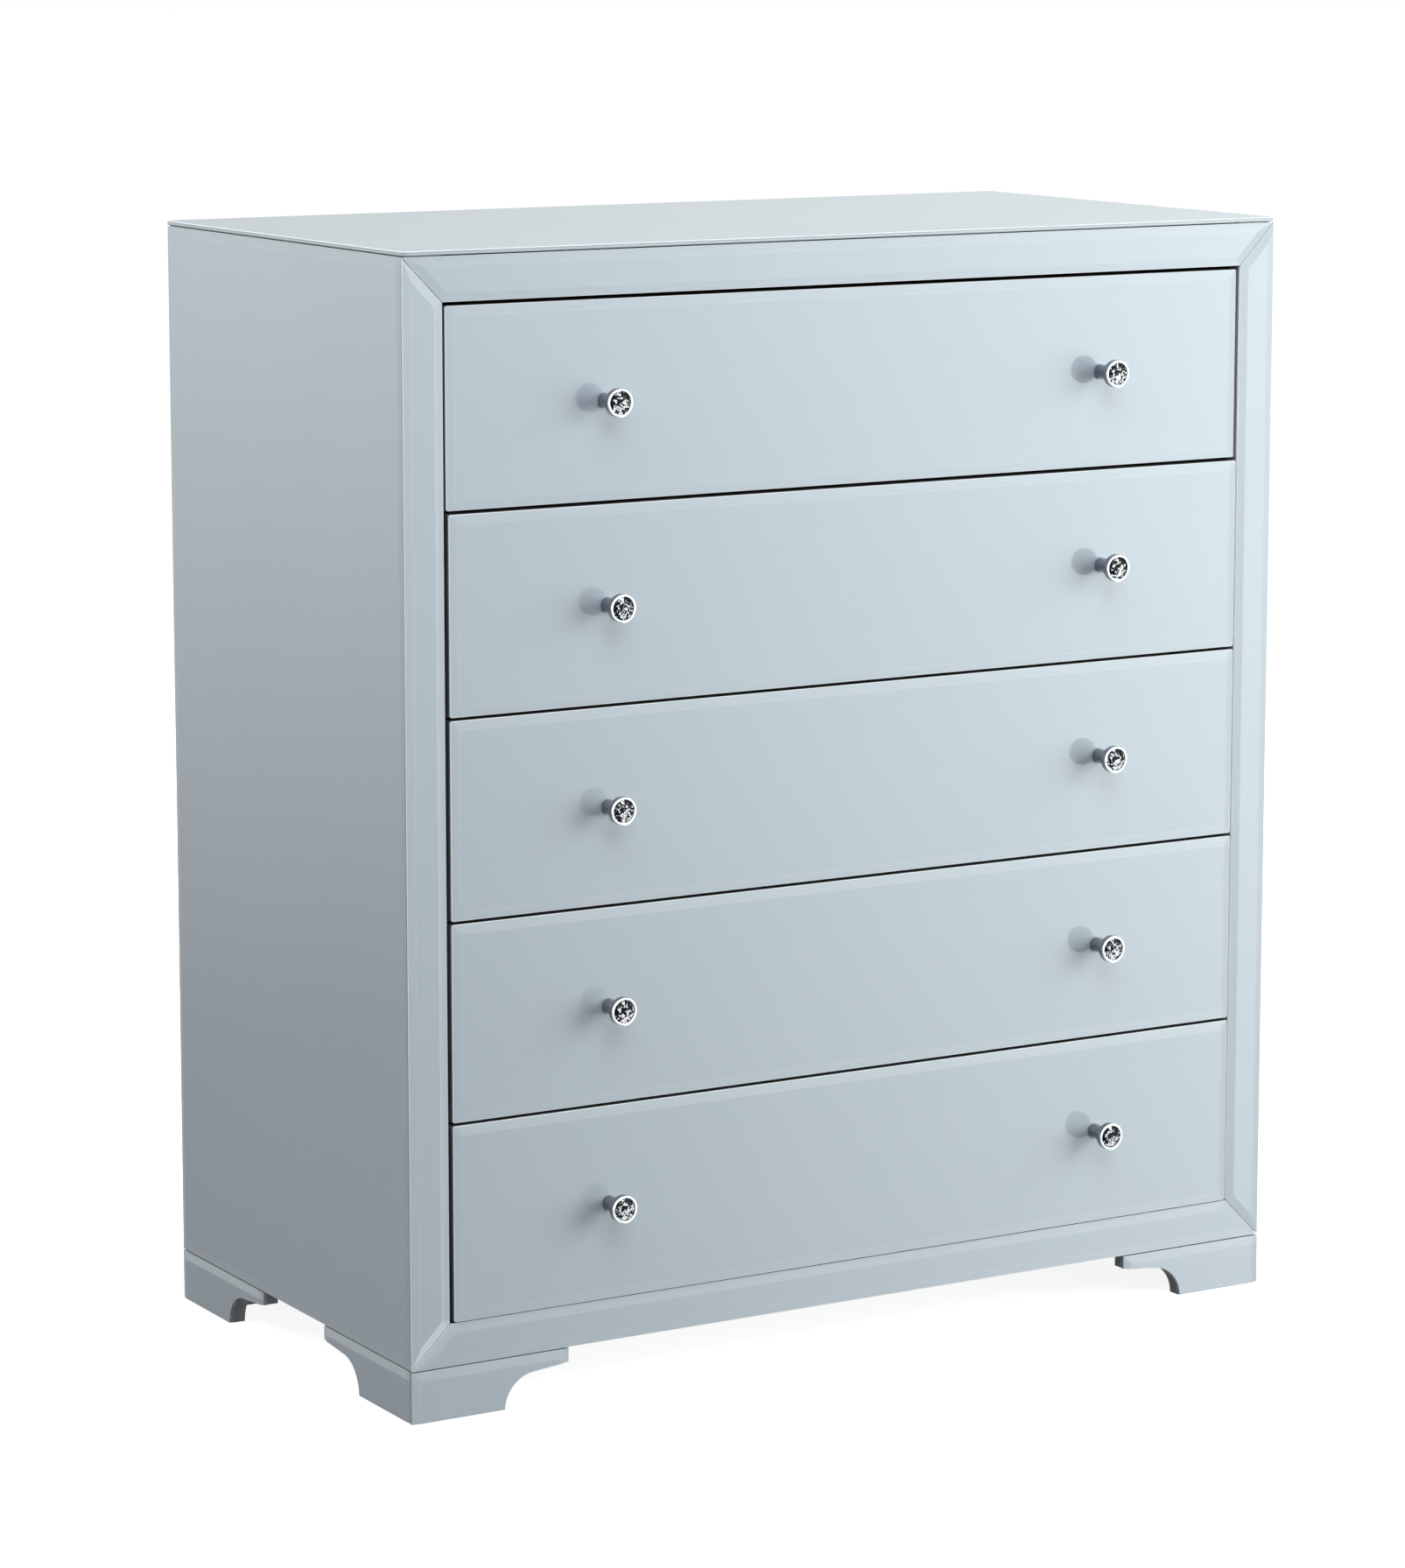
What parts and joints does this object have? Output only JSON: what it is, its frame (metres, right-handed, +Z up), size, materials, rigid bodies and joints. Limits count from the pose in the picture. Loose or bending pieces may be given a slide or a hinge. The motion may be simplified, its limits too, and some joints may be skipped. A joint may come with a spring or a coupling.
{
  "type": "tall chest of drawers",
  "caption": "Tall chest of full-width drawers faced with bevelled white back-painted glass, on low bracket feet, with round crystal knobs.",
  "frame": {"origin": "on the floor, at the middle of the whole object's footprint with the knobs counted in", "axes": "+X across the front towards the right as seen from the front, +Y from the drawer fronts to the back, +Z up; the drawers open along -Y"},
  "size_m": [0.91, 0.5066, 1.02],
  "materials": {
    "white_glass": "polished 4 mm float glass, painted cool white on its back",
    "painted_board": "fibreboard with a pale grey paper film",
    "edge_board": "fibreboard painted dark grey",
    "drawer_board": "fibreboard wrapped in a light grey film",
    "back_board": "thin hardboard, light grey on the shown face",
    "batten_wood": "planed softwood",
    "knob_chrome": "polished chrome plate",
    "crystal": "clear cut crystal on a foil back",
    "runner_steel": "zinc-plated pressed steel",
    "cage_steel": "pressed steel strip with bearing balls",
    "screw_steel": "zinc-plated"
  },
  "bodies": {
    "cabinet": {"left_side_panel": "painted_board", "right_side_panel": "painted_board", "top_panel": "painted_board", "bottom_panel": "painted_board", "back_panel": "back_board", "face_frame": "edge_board", "top_glass": "white_glass", "left_side_glass": "white_glass", "right_side_glass": "white_glass", "rail_glass": "white_glass", "stile_glass": "white_glass", "front_left_foot": "edge_board", "front_right_foot": "edge_board", "rear_left_foot": "edge_board", "rear_right_foot": "edge_board", "foot_glass": "white_glass", "foot_screws": "screw_steel", "cabinet_runners": "runner_steel", "runner_battens": "batten_wood", "runner_screws": "screw_steel"},
    "drawer_1": {"drawer_1_front_glass": "white_glass", "drawer_1_front_board": "edge_board", "drawer_1_box_walls": "drawer_board", "drawer_1_bottom": "back_board", "drawer_1_knobs": "knob_chrome", "drawer_1_crystals": "crystal", "drawer_1_runners": "runner_steel"},
    "drawer_1_cages": {"drawer_1_ball_cages": "cage_steel"},
    "drawer_2": {"drawer_2_front_glass": "white_glass", "drawer_2_front_board": "edge_board", "drawer_2_box_walls": "drawer_board", "drawer_2_bottom": "back_board", "drawer_2_knobs": "knob_chrome", "drawer_2_crystals": "crystal", "drawer_2_runners": "runner_steel"},
    "drawer_2_cages": {"drawer_2_ball_cages": "cage_steel"},
    "drawer_3": {"drawer_3_front_glass": "white_glass", "drawer_3_front_board": "edge_board", "drawer_3_box_walls": "drawer_board", "drawer_3_bottom": "back_board", "drawer_3_knobs": "knob_chrome", "drawer_3_crystals": "crystal", "drawer_3_runners": "runner_steel"},
    "drawer_3_cages": {"drawer_3_ball_cages": "cage_steel"},
    "drawer_4": {"drawer_4_front_glass": "white_glass", "drawer_4_front_board": "edge_board", "drawer_4_box_walls": "drawer_board", "drawer_4_bottom": "back_board", "drawer_4_knobs": "knob_chrome", "drawer_4_crystals": "crystal", "drawer_4_runners": "runner_steel"},
    "drawer_4_cages": {"drawer_4_ball_cages": "cage_steel"},
    "drawer_5": {"drawer_5_front_glass": "white_glass", "drawer_5_front_board": "edge_board", "drawer_5_box_walls": "drawer_board", "drawer_5_bottom": "back_board", "drawer_5_knobs": "knob_chrome", "drawer_5_crystals": "crystal", "drawer_5_runners": "runner_steel"},
    "drawer_5_cages": {"drawer_5_ball_cages": "cage_steel"}
  },
  "joints": [
    {"name": "drawer_1_slide", "type": "slide", "parent": "cabinet", "child": "drawer_1", "axis": [0, -1, 0], "range_m": [0, 0.3]},
    {"name": "drawer_1_cage_slide", "type": "slide", "parent": "cabinet", "child": "drawer_1_cages", "axis": [0, -1, 0], "range_m": [0, 0.15]},
    {"name": "drawer_2_slide", "type": "slide", "parent": "cabinet", "child": "drawer_2", "axis": [0, -1, 0], "range_m": [0, 0.3]},
    {"name": "drawer_2_cage_slide", "type": "slide", "parent": "cabinet", "child": "drawer_2_cages", "axis": [0, -1, 0], "range_m": [0, 0.15]},
    {"name": "drawer_3_slide", "type": "slide", "parent": "cabinet", "child": "drawer_3", "axis": [0, -1, 0], "range_m": [0, 0.3]},
    {"name": "drawer_3_cage_slide", "type": "slide", "parent": "cabinet", "child": "drawer_3_cages", "axis": [0, -1, 0], "range_m": [0, 0.15]},
    {"name": "drawer_4_slide", "type": "slide", "parent": "cabinet", "child": "drawer_4", "axis": [0, -1, 0], "range_m": [0, 0.3]},
    {"name": "drawer_4_cage_slide", "type": "slide", "parent": "cabinet", "child": "drawer_4_cages", "axis": [0, -1, 0], "range_m": [0, 0.15]},
    {"name": "drawer_5_slide", "type": "slide", "parent": "cabinet", "child": "drawer_5", "axis": [0, -1, 0], "range_m": [0, 0.3]},
    {"name": "drawer_5_cage_slide", "type": "slide", "parent": "cabinet", "child": "drawer_5_cages", "axis": [0, -1, 0], "range_m": [0, 0.15]}
  ],
  "couplings": [
    {"joint": "drawer_1_cage_slide", "follows": "drawer_1_slide", "ratio": 0.5},
    {"joint": "drawer_2_cage_slide", "follows": "drawer_2_slide", "ratio": 0.5},
    {"joint": "drawer_3_cage_slide", "follows": "drawer_3_slide", "ratio": 0.5},
    {"joint": "drawer_4_cage_slide", "follows": "drawer_4_slide", "ratio": 0.5},
    {"joint": "drawer_5_cage_slide", "follows": "drawer_5_slide", "ratio": 0.5}
  ]
}
